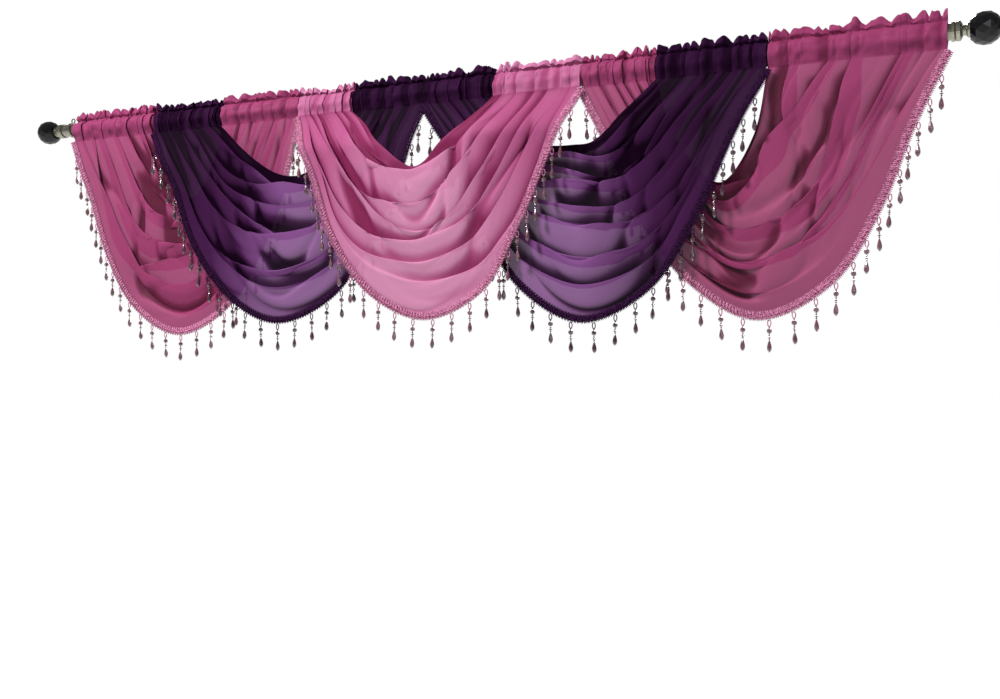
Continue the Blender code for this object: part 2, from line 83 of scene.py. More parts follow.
SWAGS = (
    Swag(
        name="swag_1",
        shade="pink",
        layer=0,
        pockets=(-929, -687.5, -503.5, -295.4),
        neck=((-655, -115), (-590, -180), (-530, -115)),
        hem=(
            (-872, -160), (-818, -295), (-740, -415), (-612, -475), (-480, -415), (-394, -300), (-335, -165),
        ),
        headings=(36, 35, 34, 34),
        reach=(0.60, 0.55),
        dense=0.14,
        valley=1.75,
        folds=(
            Fold((0.18, 0.12, 0.06, 0.12, 0.18), (0.4, 0.7, 0.9, 0.7, 0.4), 0.030),
            Fold((0.34, 0.24, 0.14, 0.24, 0.34), (0.5, 0.9, 1.0, 0.8, 0.4), 0.034),
            Fold((0.50, 0.42, 0.24, 0.36, 0.48), (0.6, 1.0, 1.1, 0.9, 0.5), 0.040),
            Fold((0.68, 0.66, 0.40, 0.52, 0.62), (0.7, 1.2, 1.2, 0.9, 0.5), 0.044),
            Fold((0.81, 0.85, 0.54, 0.66, 0.76), (0.8, 1.1, 1.3, 1.0, 0.6), 0.040),
            Fold((0.94, 0.90, 0.76, 0.84, 0.92), (0.4, 0.9, 1.7, 1.1, 0.3), 0.042),
            Fold((1.00, 1.00, 0.90, 0.97, 1.00), (0.0, 0.2, 0.7, 0.3, 0.0), 0.030),
            Fold((0.55, 0.50, 0.33, 0.20, 0.15), (0.8, 1.2, 0.9, 0.2, 0.0), 0.022, 0.12),
            Fold((0.30, 0.45, 0.64, 0.80, 0.95), (0.0, 0.3, 1.0, 1.1, 0.5), 0.022, 0.12),
            Fold((0.92, 0.74, 0.84, 0.60, 0.50), (0.2, 0.9, 1.1, 0.8, 0.2), 0.022, 0.12),
        ),
        hollows=(
            Hollow((0.24, -0.04), (0.38, 0.54), 0.075, 9 * MM),
            Hollow((0.95, 0.28), (0.86, 0.64), 0.050, 9 * MM),
            Hollow((0.50, 0.20), (0.60, 0.46), 0.026, 7 * MM),
        ),
    ),
    Swag(
        name="swag_2",
        shade="purple",
        layer=1,
        pockets=(-686.6, -502.6, -163.4, 3.1),
        neck=((-425, -95), (-345, -146), (-270, -150), (-210, -105)),
        hem=((-612, -150), (-556, -280), (-467, -395), (-338, -453), (-205, -402), (-113, -290), (-46, -165)),
        headings=(34, 34, 33, 33),
        reach=(0.80, 0.36),
        dense=1.15,
        valley=1.1,
        folds=(
            Fold((0.22, 0.13, 0.06, 0.12, 0.16), (0.6, 0.9, 0.9, 0.7, 0.4), 0.030),
            Fold((0.37, 0.26, 0.12, 0.22, 0.32), (0.7, 1.1, 1.0, 0.8, 0.5), 0.032),
            Fold((0.50, 0.39, 0.24, 0.34, 0.46), (0.8, 1.1, 0.8, 0.9, 0.5), 0.034),
            Fold((0.64, 0.50, 0.40, 0.48, 0.60), (0.8, 1.2, 1.1, 0.9, 0.5), 0.036),
            Fold((0.80, 0.65, 0.49, 0.58, 0.72), (0.8, 1.0, 0.7, 0.8, 0.5), 0.034),
            Fold((0.95, 0.87, 0.68, 0.74, 0.84), (0.5, 0.9, 0.8, 0.7, 0.4), 0.032),
            Fold((0.99, 0.93, 0.80, 0.86, 0.93), (0.2, 0.6, 0.7, 0.5, 0.2), 0.028),
            Fold((0.10, 0.18, 0.46, 0.40, 0.28), (0.1, 0.6, 1.2, 0.7, 0.0), 0.020, 0.12),
            Fold((0.42, 0.48, 0.64, 0.50, 0.38), (0.2, 0.7, 1.1, 0.6, 0.1), 0.018, 0.12),
            Fold((0.68, 0.75, 0.88, 0.70, 0.58), (0.0, 0.7, 0.9, 0.8, 0.2), 0.020, 0.12),
        ),
    ),
    Swag(
        name="swag_3",
        shade="pink",
        layer=2,
        pockets=(-294.6, -162.6, 156.6, 336.6),
        neck=((-125, -62), (-78, -108), (-4, -158), (60, -112), (115, -68)),
        hem=((-233, -152), (-185, -282), (-104, -393), (22, -450), (147, -399), (220, -283), (280, -157)),
        headings=(32, 30, 34, 34),
        reach=(0.60, 0.60),
        dense=0.85,
        valley=1.15,
        folds=(
            Fold((0.34, 0.24, 0.05, 0.13, 0.15), (0.7, 1.1, 0.8, 0.7, 0.5), 0.032),
            Fold((0.66, 0.47, 0.26, 0.30, 0.36), (0.9, 1.2, 0.5, 0.7, 0.6), 0.036),
            Fold((0.82, 0.58, 0.44, 0.49, 0.54), (0.9, 1.3, 0.4, 0.8, 0.7), 0.036),
            Fold((0.91, 0.77, 0.53, 0.64, 0.70), (0.8, 1.2, 0.4, 0.9, 0.7), 0.034),
            Fold((0.98, 0.90, 0.66, 0.80, 0.86), (0.5, 1.0, 0.4, 1.0, 0.7), 0.034),
            Fold((1.00, 0.97, 0.79, 0.97, 0.97), (0.0, 0.5, 0.3, 0.7, 0.4), 0.030),
            Fold((0.18, 0.30, 0.38, 0.18, 0.08), (0.4, 0.9, 0.6, 0.9, 0.3), 0.020, 0.12),
            Fold((0.75, 0.68, 0.52, 0.22, 0.20), (0.0, 0.4, 0.6, 1.0, 0.5), 0.020, 0.12),
        ),
        hollows=(
            Hollow((0.24, 0.02), (0.10, 0.44), 0.034, 9 * MM),
            Hollow((0.74, 0.12), (0.60, 0.40), 0.024, 8 * MM),
            Hollow((0.48, 0.08), (0.36, 0.36), 0.016, 7 * MM),
        ),
    ),
    Swag(
        name="swag_4",
        shade="purple",
        layer=1,
        pockets=(3.9, 157.4, 480.4, 679.6),
        neck=((205, -80), (262, -130), (325, -138), (372, -132), (425, -80)),
        hem=((88, -145), (146, -275), (224, -394), (347, -459), (473, -400), (555, -283), (616, -153)),
        headings=(34, 34, 34, 34),
        reach=(0.36, 0.80),
        dense=1.15,
        valley=1.1,
        folds=(
            Fold((0.16, 0.12, 0.06, 0.24, 0.30), (0.5, 0.7, 0.7, 0.6, 0.5), 0.026),
            Fold((0.30, 0.22, 0.16, 0.38, 0.46), (0.6, 0.9, 1.0, 1.0, 0.7), 0.032),
            Fold((0.44, 0.36, 0.26, 0.48, 0.62), (0.6, 0.9, 1.1, 1.1, 0.8), 0.034),
            Fold((0.58, 0.48, 0.39, 0.62, 0.76), (0.6, 1.0, 0.9, 1.1, 0.8), 0.034),
            Fold((0.72, 0.60, 0.50, 0.76, 0.88), (0.6, 0.9, 0.9, 1.2, 0.7), 0.034),
            Fold((0.86, 0.76, 0.68, 0.88, 0.96), (0.5, 0.7, 0.9, 0.9, 0.4), 0.032),
            Fold((0.96, 0.90, 0.83, 0.96, 1.00), (0.2, 0.4, 0.7, 0.3, 0.0), 0.026),
            Fold((0.05, 0.14, 0.38, 0.30, 0.20), (0.1, 0.7, 1.1, 0.7, 0.1), 0.018, 0.12),
            Fold((0.24, 0.30, 0.56, 0.42, 0.34), (0.2, 0.8, 1.2, 0.7, 0.1), 0.018, 0.12),
            Fold((0.50, 0.54, 0.75, 0.60, 0.50), (0.1, 0.8, 1.1, 0.7, 0.1), 0.020, 0.12),
        ),
    ),
    Swag(
        name="swag_5",
        shade="pink",
        layer=0,
        pockets=(337.4, 479.6, 680.4, 970),
        neck=((520, -145), (595, -222), (655, -145)),
        hem=((402, -153), (460, -280), (546, -391), (663, -457), (786, -399), (861, -281), (912, -151)),
        headings=(31, 33, 36, 36),
        reach=(0.42, 0.70),
        dense=0.26,
        valley=1.6,
        folds=(
            Fold((0.16, 0.12, 0.06, 0.18, 0.16), (0.5, 0.8, 0.9, 0.9, 0.6), 0.032),
            Fold((0.32, 0.26, 0.20, 0.25, 0.40), (0.6, 0.9, 1.0, 1.1, 0.7), 0.036),
            Fold((0.46, 0.34, 0.40, 0.58, 0.54), (0.6, 0.9, 0.9, 1.2, 0.8), 0.044),
            Fold((0.62, 0.50, 0.56, 0.70, 0.76), (0.6, 0.9, 0.8, 0.9, 0.7), 0.038),
            Fold((0.78, 0.66, 0.66, 0.80, 0.86), (0.6, 0.9, 1.1, 1.1, 0.7), 0.042),
            Fold((0.92, 0.82, 0.74, 0.91, 0.99), (0.4, 0.9, 1.0, 0.9, 0.3), 0.036),
            Fold((0.98, 0.94, 0.88, 0.98, 1.00), (0.1, 0.5, 0.7, 0.2, 0.0), 0.030),
            Fold((0.28, 0.42, 0.62, 0.45, 0.25), (0.1, 0.9, 1.2, 0.9, 0.4), 0.022, 0.12),
            Fold((0.60, 0.70, 0.84, 0.62, 0.45), (0.2, 0.8, 1.1, 1.0, 0.4), 0.022, 0.12),
            Fold((0.10, 0.18, 0.30, 0.45, 0.62), (0.0, 0.3, 0.8, 1.1, 0.8), 0.020, 0.12),
        ),
        hollows=(
            Hollow((0.05, 1.02), (0.25, 0.55), 0.050, 9 * MM),
            Hollow((0.26, 0.38), (0.45, 0.60), 0.028, 8 * MM),
            Hollow((0.70, 0.32), (0.82, 0.54), 0.028, 8 * MM),
            Hollow((0.92, 0.30), (0.92, 0.54), 0.026, 8 * MM),
        ),
    ),
)

# The folds. For one of strength 1: how far its cloth is pulled over its neighbour, in half widths,
# how deep it lies, and the share of that depth that is left to one without roll. How long its lower
# side and its face are, in half widths. How far its line drifts from the smooth one, and how often
FOLD_ROLL = 2.5
FOLD_DEPTH = 9 * MM
FLAT_FOLD = 0.4
LOWER_SIDE = 1.6
FACE_LONGER = 4.0
FOLD_DRIFT = 0.008
DRIFT_CELLS = 9
# The share of a hollow's length over which it begins and ends
HOLLOW_FADE = 0.3
# The pleats that run out of the pockets: how far each is pulled over and how deep it is, their pitch
# in mm, their half width as a share of it, and by what shares they differ
PLEAT_ROLL = 2.2
PLEAT_DEPTH = 5 * MM
PLEAT_PITCH = 13.5
PLEAT_SHARE = 0.3
PLEAT_STRAY = 0.28
PLEAT_REACH = (0.45, 1.0)
PLEAT_STRENGTH = (0.7, 1.2)
PLEAT_WIDTH = (0.8, 1.25)
# Uneven cloth: how deep, and the cells of the noise down and across
RIPPLES = ((1.0 * MM, (26, 5)), (1.6 * MM, (7, 6)))
# Sharp creases that slant across the folds, each way: how deep, how far they lean, the cells of
# their noise, how sharp it is made and what is taken off it, then the patches that have them
CREASE_DEPTH = 6.0 * MM
CREASE_LEAN = 0.45
CREASE_TURN = 0.25
CREASE_CELLS = (13, 5)
CREASE_SHARP = 3
CREASE_MEAN = 0.3
CREASE_PATCHES = (5, 4)
CREASE_PATCHY = 0.9
# The share of the sheet beside its free edges over which the pull fades to nothing
EDGE_CALM = 0.04
# The room between two layers of cloth at the stitch and lower down, and the share of it that folds
# may take. They fade towards the stitch
STITCH_ROOM = 5.5 * MM
HANG_ROOM = 20 * MM
ROOM_SHARE = 0.42
FADE_DROP = 60 * MM
FADE_FROM = 0.36
# Painted shade in the valleys of the folds: how deep a valley is that is painted dense and dark, and how
# dense a look, from 0 on a ridge to 1 in such a valley, adds no painted shade
VALLEY_SHADE_DEPTH = 3.2 * MM
VALLEY_SHADE_FROM = 0.35
# What is added to a swag's own seed for each kind of noise
PLEAT_SEED, RIPPLE_SEED, CREASE_SEED, DRIFT_SEED, PATCH_SEED = 1, 2, 4, 7, 24
# Keeps two lines of folds apart where they meet, as a share of the way down
KEY_STEP = 1e-6


def smoothstep(t):
    t = np.clip(t, 0.0, 1.0)
    return t * t * (3 - 2 * t)


def rounded(points, steps=24):
    """A Catmull-Rom curve through the points, close enough together to be read as smooth."""
    p = np.array(points, float)
    p = np.vstack([2 * p[0] - p[1], p, 2 * p[-1] - p[-2]])
    t = np.linspace(0, 1, steps, endpoint=False)[:, None]
    spans = []
    for a, b, c, d in zip(p, p[1:], p[2:], p[3:]):
        bend = (2 * a - 5 * b + 4 * c - d) * t**2 + (3 * b - a - 3 * c + d) * t**3
        spans.append(b + 0.5 * ((c - a) * t + bend))
    return np.vstack([*spans, p[-2]])


def lengths(curve):
    """How far along a curve each of its points is."""
    steps = np.linalg.norm(np.diff(curve, axis=0), axis=1)
    return np.concatenate([[0], np.cumsum(steps)])


def sampled(at, stations, rows):
    """What lies at these places between rows of values, of which each is at its station."""
    return np.stack([np.interp(at, stations, rows[:, k]) for k in range(rows.shape[1])], axis=-1)


def along(curve, share):
    """The points of a curve at these shares of its length."""
    length = lengths(curve)
    return sampled(np.asarray(share) * length[-1], length, curve)


def number_of(swag):
    return int(swag.name[-1])


def outer_inner(values, side):
    """Of four values, left outer, left inner, right inner and right outer, those of the left pocket
    (side 0) or of the right one (side 1)."""
    return values[3:1:-1] if side else values[0:2]


def free_edge(swag, inner):
    """The neck or the hem of a swag, in metres, from its left pocket to its right one."""
    left_outer, left_inner, right_inner, right_outer = swag.pockets
    ends = (left_inner, right_inner) if inner else (left_outer, right_outer)
    points = swag.neck if inner else swag.hem
    stitch = STITCH_Z / MM
    return rounded([(ends[0], stitch), *points, (ends[1], stitch)]) * MM


def hang_y(z, layer):
    """The depth at which the cloth of a layer hangs at height z."""
    down = smoothstep((STITCH_Z - z) / LAYER_DROP)
    return LAYER_STITCH_Y[layer] + (LAYER_HANG_Y[layer] - LAYER_STITCH_Y[layer]) * down


def smooth_noise(seed, cells, shares):
    """Even noise from -1 to 1 over one or two axes, each with so many cells from share 0 to 1."""
    rng = np.random.default_rng(seed)
    table = rng.uniform(-1, 1, [count + 2 for count in cells])
    lows, parts = [], []
    for count, share in zip(cells, shares):
        at = np.clip(share, 0, 1) * count
        low = np.minimum(at.astype(int), count)
        lows.append(low)
        parts.append(smoothstep(at - low))
    if len(cells) == 1:
        return table[lows[0]] * (1 - parts[0]) + table[lows[0] + 1] * parts[0]
    a, b = lows
    p, q = parts
    near = table[a, b] * (1 - p) + table[a + 1, b] * p
    far = table[a, b + 1] * (1 - p) + table[a + 1, b + 1] * p
    return near * (1 - q) + far * q


def at_stations(values, across):
    curve = rounded(np.column_stack([STATIONS, values]))
    return np.interp(across, curve[:, 0], curve[:, 1])


def cup(offset, width):
    """The wave of a fold across its line: the cloth above goes down behind, that below comes up in
    front of it. The lower side is the longer one."""
    u = offset / width
    u = np.where(u > 0, u / LOWER_SIDE, u)
    return -u * np.exp((1 - u * u) / 2)


def bulge(offset, width):
    """How far a fold stands behind (+) or in front of (-) its neighbours: it dips above its line and
    comes forward just below it, then falls back slowly over its face."""
    u = offset / width
    behind = -u * np.exp((1 - u * u) / 2)
    face = -(1 - np.exp(-2 * np.maximum(u, 0))) * np.exp(-((u / FACE_LONGER) ** 2))
    return np.where(u < 0, behind, face)


def flow(swag, start, across, from_right):
    """The line that a pleat takes which leaves a pocket at share start: between those of the folds."""
    paths = [at_stations(fold.path, across) for fold in swag.folds]
    paths = [np.zeros_like(across), *paths, np.ones_like(across)]
    edge = -1 if from_right else 0
    keys = np.maximum.accumulate([path[edge] for path in paths])
    keys = keys + KEY_STEP * np.arange(len(keys))
    high = int(np.clip(np.searchsorted(keys, start), 1, len(keys) - 1))
    share = (start - keys[high - 1]) / (keys[high] - keys[high - 1])
    return paths[high - 1] * (1 - share) + paths[high] * share


def pleat_field(swag, across, seed):
    """The small pleats of both pockets as rows of (line, half width, strength): the line and the
    strength are arrays over the rows."""
    rng = np.random.default_rng(seed)
    pleats = []
    for side in (0, 1):
        outer, inner = outer_inner(swag.pockets, side)
        count = round(abs(outer - inner) / PLEAT_PITCH)
        distance = (1 - across) if side else across
        for k in range(count):
            start = (k + 0.5 + rng.uniform(-PLEAT_STRAY, PLEAT_STRAY)) / count
            reach = swag.reach[side] * rng.uniform(*PLEAT_REACH)
            strength = rng.uniform(*PLEAT_STRENGTH) * (1 - smoothstep(distance / reach))
            width = PLEAT_SHARE / count * rng.uniform(*PLEAT_WIDTH)
            pleats.append((flow(swag, start, across, bool(side)), width, strength))
    return pleats


def crease_depth(seed, lean, deep, wide):
    """How deep the sharp creases are that lean one way, at shares down and across."""
    slanted = [
        (deep + lean * wide + max(0, -lean)) / (1 + abs(lean)),
        (wide + CREASE_TURN * deep) / (1 + CREASE_TURN),
    ]
    crease = (1 - np.abs(smooth_noise(seed + CREASE_SEED, CREASE_CELLS, slanted))) ** CREASE_SHARP
    patches = smoothstep(0.5 + CREASE_PATCHY * smooth_noise(seed + PATCH_SEED, CREASE_PATCHES, [deep, wide]))
    return CREASE_DEPTH * patches * (crease - CREASE_MEAN)


def wave_fields(swag, down, rows):
    """How far the cloth is shifted towards the hem, as a share, and how far back it lies by its folds
    and by its pleats, in metres, for a row of shares down and the shares across in rows."""
    seed = 100 * number_of(swag)
    shift = np.zeros((len(rows), len(down)))
    depth = np.zeros_like(shift)
    crimp = np.zeros_like(shift)
    for fold in swag.folds:
        path = at_stations(fold.path, rows)[:, None]
        path = path + FOLD_DRIFT * smooth_noise(seed + DRIFT_SEED, [DRIFT_CELLS], [rows])[:, None]
        strength = np.maximum(at_stations(fold.strength, rows), 0)[:, None]
        shift += FOLD_ROLL * fold.roll * fold.width * strength * cup(down - path, fold.width)
        deepest = FOLD_DEPTH * (FLAT_FOLD + (1 - FLAT_FOLD) * fold.roll)
        depth += deepest * strength * bulge(down - path, fold.width)
    for path, width, strength in pleat_field(swag, rows, seed + PLEAT_SEED):
        wave = strength[:, None] * cup(down - path[:, None], width)
        shift += PLEAT_ROLL * width * wave
        crimp += PLEAT_DEPTH * wave
    deep, wide = down + 0 * rows[:, None], rows[:, None] + 0 * down
    for (start, first), (end, last), width, hollow in swag.hollows:
        share = (wide - first) / (last - first)
        offset = (deep - start - (end - start) * share) / width
        length = smoothstep(share / HOLLOW_FADE) * smoothstep((1 - share) / HOLLOW_FADE)
        depth += (hollow - depth) * length * np.exp(-(offset**4))
    for k, (ripple, cells) in enumerate(RIPPLES):
        depth += ripple * smooth_noise(seed + RIPPLE_SEED + k, cells, [deep, wide])
    for k, lean in enumerate((CREASE_LEAN, -CREASE_LEAN)):
        depth += crease_depth(seed + k, lean, deep, wide)
    edges = smoothstep(down / EDGE_CALM) * smoothstep((1 - down) / EDGE_CALM)
    return shift * edges, depth, crimp


def shade_and_density_of(swag, depth, rows):
    """How dense the cloth looks, from 0 for one layer to 1 where it is gathered, with painted shade added
    where it lies in a valley.
    """
    near_left = 1 - smoothstep(rows / swag.reach[0])
    near_right = 1 - smoothstep((1 - rows) / swag.reach[1])
    gathered = np.maximum(near_left, near_right)[:, None]
    # Painted shade: the deeper the cloth lies in a valley, the denser and darker it is made
    valley = 0.5 + 0.5 * np.tanh(depth / VALLEY_SHADE_DEPTH)
    return np.clip(swag.dense * gathered + swag.valley * (valley - VALLEY_SHADE_FROM), 0, 1)


def drape_at(swag, down, rows):
    """Points of the drape and how dense its cloth looks, with painted shade in its valleys. down is a
    row of shares from neck to hem, rows the shares across, from the left pocket to the right one."""
    shift, depth, crimp = wave_fields(swag, down, rows)
    depth = depth + crimp
    neck = along(free_edge(swag, True), rows)[:, None, :]
    hem = along(free_edge(swag, False), rows)[:, None, :]
    flat = neck + (hem - neck) * down[:, None]
    below = STITCH_Z - flat[..., 1]
    plane = neck + (hem - neck) * (down + shift)[..., None]
    fade = smoothstep(FADE_FROM + below / FADE_DROP)
    room = ROOM_SHARE * (STITCH_ROOM + (HANG_ROOM - STITCH_ROOM) * smoothstep(below / LAYER_DROP))
    y = hang_y(plane[..., 1], swag.layer) + room * np.tanh(depth * fade / room)
    return np.stack([plane[..., 0], y, plane[..., 1]], axis=-1), shade_and_density_of(swag, depth, rows)


# The sleeve's front, from the stitch up to the top of the ruffle: (Y, Z) in mm. Its back mirrors it
SLEEVE = (
    (0.0, -30.0), (-4.0, -25.0), (-10.0, -18.0), (-16.0, -10.0), (-18.5, -2.0), (-18.0, 4.0),
    (-14.5, 9.5), (-8.5, 13.2), (-4.2, 16.0), (-5.4, 22.0), (-4.4, 31.0), (0.0, 36.5),
)
BACK_STITCH = 3.6 * MM
# The sleeve ends and the ruffle begins between these heights, and the ruffle's usual height
SLEEVE_TOP, SLEEVE_FADE = 11 * MM, 7 * MM
HEADING_FROM, HEADING_RISE = 17 * MM, 12 * MM
HEADING_HEIGHT = 34 * MM
# The sleeve's gathers: how much of the drape's folds and pleats they keep, how deep they go, how far
# the sleeve stands out between them and at its stitch, and where the drape's own pinch ends
SLEEVE_FOLDS, SLEEVE_PLEATS = 0.3, 1.3
SLEEVE_ROOM = 4.5 * MM
SLEEVE_OUT, GATHER_IN = 0.1, 0.6
STITCH_SWELL, SWELL_RISE = 0.35, 18 * MM
PINCH_RISE = 16 * MM
# Puckers across the gathers, slow and quick: pitch in mm, depth, cells round the sleeve
PUCKER_PITCH, QUICKER = 13, 3
PUCKER_SLOW, PUCKER_QUICK = 2.6, 1.4
SLOW_CELLS, QUICK_CELLS = 9, 16
# The ruffle: its waves at the seam and at the top, then its puffs and the notches between them
SEAM_CRIMP = 1.6 * MM
RUFFLE = 6.0 * MM
RUFFLE_SLOW = 0.8
PUFF_SWELL = 4.5 * MM
PUFF_PITCH = 24
PUFF_DRIFT, DRIFT_PUFFS = 3.4, 1.6
PUFF_UNEVEN, PUFF_BEAT = 0.2, 2.3
TALLER, TALL_PUFFS = 4.4 * MM, 1.5
FEWEST_CELLS = 3
NOTCH = 12 * MM
NOTCH_UNEVEN, NOTCH_SHARP = 0.4, 1.5
# How dense a pocket looks, and how much less dense its ruffle is towards its top. Both are painted light: the
# top of the ruffle is made lighter as if lit from above, and the pink's pocket is kept light
POCKET_DENSITY_AND_LIGHT = {"pink": 0.5, "purple": 0.95}
RUFFLE_PAINTED_LIGHT = {"pink": 0.4, "purple": 0.1}


def sleeve_section(layer):
    """Points (Y, Z) of a sleeve, in metres, and the share of each of the way from the front stitch
    over the heading to the back stitch."""
    back = [(-y, z) for y, z in SLEEVE[-2::-1]]
    section = rounded([*SLEEVE, *back], steps=8) * MM
    fifth = len(section) // 5
    section[:fifth, 0] += LAYER_STITCH_Y[layer] * np.linspace(1, 0, fifth)
    section[-fifth:, 0] += (LAYER_STITCH_Y[layer] + BACK_STITCH) * np.linspace(0, 1, fifth)
    share = np.linspace(0, 1, 2 * POCKET_ROWS + 1)
    return along(section, share), share


def ruffle_puffs(seed, puffs, place):
    """The ruffle's puffs, from 0 in a notch to 1, and how much taller it is, from -1 to 1."""
    cells = max(FEWEST_CELLS, round(puffs / DRIFT_PUFFS))
    drift = PUFF_DRIFT * smooth_noise(60 + seed, [cells], [place])
    puff = np.abs(np.sin(math.pi * puffs * place + drift))
    puff = puff * (1 - PUFF_UNEVEN + PUFF_UNEVEN * np.cos(PUFF_BEAT * math.pi * puffs * place))
    cells = max(FEWEST_CELLS, round(puffs / TALL_PUFFS))
    return puff, smooth_noise(90 + seed, [cells], [place])


def sleeve_rows(swag, down, side, stitch_row):
    """The rows of a pocket, from its front stitch over the top to its back stitch, and how dense each
    looks, with painted valley shade and painted light on the heading. stitch_row is the drape's own row of
    points at the stitch."""
    outer, inner = outer_inner(swag.pockets, side)
    outer_height, inner_height = outer_inner(swag.headings, side)
    number = number_of(swag)
    edge = np.array([float(side)])
    shift, depth, crimp = wave_fields(swag, down, edge)
    depth = SLEEVE_FOLDS * depth + SLEEVE_PLEATS * crimp
    density_and_shade = shade_and_density_of(swag, depth, edge)[0]
    place = np.clip(down + shift[0], 0, 1)
    x = (inner + (outer - inner) * (down + shift[0])) * MM
    gather = np.tanh(depth[0] / SLEEVE_ROOM)
    pinch = stitch_row[:, 1] - LAYER_STITCH_Y[swag.layer]
    puff, tall = ruffle_puffs(number + 5 * side, abs(outer - inner) / PUFF_PITCH, place)
    top = (inner_height + (outer_height - inner_height) * place) * MM
    notch = NOTCH * (1 + NOTCH_UNEVEN * tall) * (1 - puff) ** NOTCH_SHARP
    cells = round(abs(outer - inner) / PUCKER_PITCH)
    rows, densities_and_shade = [], []
    for k, ((y, z), share) in enumerate(zip(*sleeve_section(swag.layer))):
        outward = -1 if k <= POCKET_ROWS else 1
        high = smoothstep((z - HEADING_FROM) / HEADING_RISE)
        sleeve = 1 - smoothstep((z - SLEEVE_TOP) / SLEEVE_FADE)
        swell = sleeve * (STITCH_SWELL + (1 - STITCH_SWELL) * smoothstep((z - STITCH_Z) / SWELL_RISE))
        places = [place, np.full_like(place, share)]
        slow = smooth_noise(200 + 10 * number + side, [cells, SLOW_CELLS], places)
        quick = smooth_noise(300 + 10 * number + side, [QUICKER * cells, QUICK_CELLS], places)
        pucker = (PUCKER_SLOW * slow + PUCKER_QUICK * quick) * MM
        out = swell * (SLEEVE_ROOM * (SLEEVE_OUT - GATHER_IN * gather) + pucker)
        out = out + PUFF_SWELL * puff * math.sin(math.pi * high)
        near_stitch = 1 - smoothstep((z - STITCH_Z) / PINCH_RISE)
        wave = (SEAM_CRIMP + (RUFFLE - SEAM_CRIMP) * high) * (gather + RUFFLE_SLOW * slow)
        row_y = y + outward * out + near_stitch * pinch + (1 - sleeve) * wave
        row_z = z + high * (top - HEADING_HEIGHT - notch + TALLER * tall)
        rows.append(np.stack([x, row_y, row_z], axis=-1))
        # Painted light: the pocket, and more so the top of its ruffle, are made less dense and so lighter
        densities_and_shade.append(density_and_shade * (POCKET_DENSITY_AND_LIGHT[swag.shade] - RUFFLE_PAINTED_LIGHT[swag.shade] * high))
    return rows, densities_and_shade


def cloth_grid(swag):
    """All rows of the sheet: round the left pocket, across the drape, round the right pocket. With
    it, how dense each point looks, with painted valley shade and, on the headings, painted light."""
    folded_back = np.linspace(NECK_HEM_WIDTH, 0, NECK_HEM_COLUMNS, endpoint=False)
    columns = np.concatenate([folded_back, np.linspace(0, 1, COLUMNS)])
    behind = np.concatenate([np.full(NECK_HEM_COLUMNS, NECK_HEM_GAP), np.zeros(COLUMNS)])
    behind[NECK_HEM_COLUMNS - 1] *= NECK_HEM_TURN
    even = np.linspace(0, 1, ROWS)
    across = even - ROWS_CLOSER * np.sin(4 * math.pi * even) / (4 * math.pi)
    drape, drape_density_and_shade = drape_at(swag, columns, across)
    left, left_densities_and_shade = sleeve_rows(swag, columns, 0, drape[0])
    right, right_densities_and_shade = sleeve_rows(swag, columns, 1, drape[-1])
    grid = np.array([*left[:0:-1], *drape, *right[1:]])
    grid[..., 1] += behind
    density_and_shade = np.array([*left_densities_and_shade[:0:-1], *drape_density_and_shade, *right_densities_and_shade[1:]])
    return grid, density_and_shade


def mesh_piece(name, points, faces, material, uv=None, density_and_shade=None):
    """A smooth mesh object that rides on the root body."""
    mesh = bpy.data.meshes.new(name)
    mesh.from_pydata(np.asarray(points).tolist(), [], [tuple(int(i) for i in face) for face in faces])
    mesh.materials.append(material)
    mesh.shade_smooth()
    if uv is not None:
        layer = mesh.uv_layers.new(name="cloth")
        corner = np.empty(len(mesh.loops), np.int32)
        mesh.loops.foreach_get("vertex_index", corner)
        layer.data.foreach_set("uv", np.asarray(uv, np.float32)[corner].ravel())
    if density_and_shade is not None:
        # The gathered attribute holds how dense the cloth looks, with painted valley shade and the heading's
        # painted light in it
        values = mesh.attributes.new("gathered", "FLOAT", "POINT")
        values.data.foreach_set("value", np.asarray(density_and_shade, np.float32).ravel())
    made = bpy.data.objects.new(name, mesh)
    bpy.context.scene.collection.objects.link(made)
    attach(made, "root")
    return made


def grid_faces(rows, columns):
    r, c = np.meshgrid(np.arange(rows - 1), np.arange(columns - 1), indexing="ij")
    first = (r * columns + c).ravel()
    return np.column_stack([first, first + 1, first + columns + 1, first + columns])


def flat_places(grid):
    """For each point of the grid, how far along the cloth it lies each way, in metres."""
    over = np.linalg.norm(np.diff(grid, axis=1), axis=2).mean(axis=0)
    around = np.linalg.norm(np.diff(grid, axis=0), axis=2).mean(axis=1)
    u = np.concatenate([[0], np.cumsum(over)])
    v = np.concatenate([[0], np.cumsum(around)])
    return np.stack(np.meshgrid(u, v), axis=-1).reshape(-1, 2)


def new_material(name, **inputs):
    """A material, its node tree and its main shader, with these inputs filled."""
    made = bpy.data.materials.new(name)
    made.use_nodes = True
    tree = made.node_tree
    return made, tree, fill(tree, tree.nodes["Principled BSDF"], **inputs)


def fill(tree, node, **inputs):
    """Fills inputs of a node with values or with the outputs of others. The names of the inputs have
    _ for a space."""
    for name, given in inputs.items():
        entry = node.inputs[name.replace("_", " ")]
        if isinstance(given, bpy.types.NodeSocket):
            tree.links.new(given, entry)
        else:
            entry.default_value = given
    return node


def add_node(tree, kind, **inputs):
    return fill(tree, tree.nodes.new("ShaderNode" + kind), **inputs)


def opaque(colour):
    return (*colour, 1)


def colour_ramp(tree, value, low, high, start=0.0, end=1.0):
    """Colours from low to high for a value that goes from start to end."""
    made = add_node(tree, "ValToRGB", Fac=value)
    first, last = made.color_ramp.elements
    first.position = start
    last.position = end
    first.color = opaque(low)
    last.color = opaque(high)
    return made


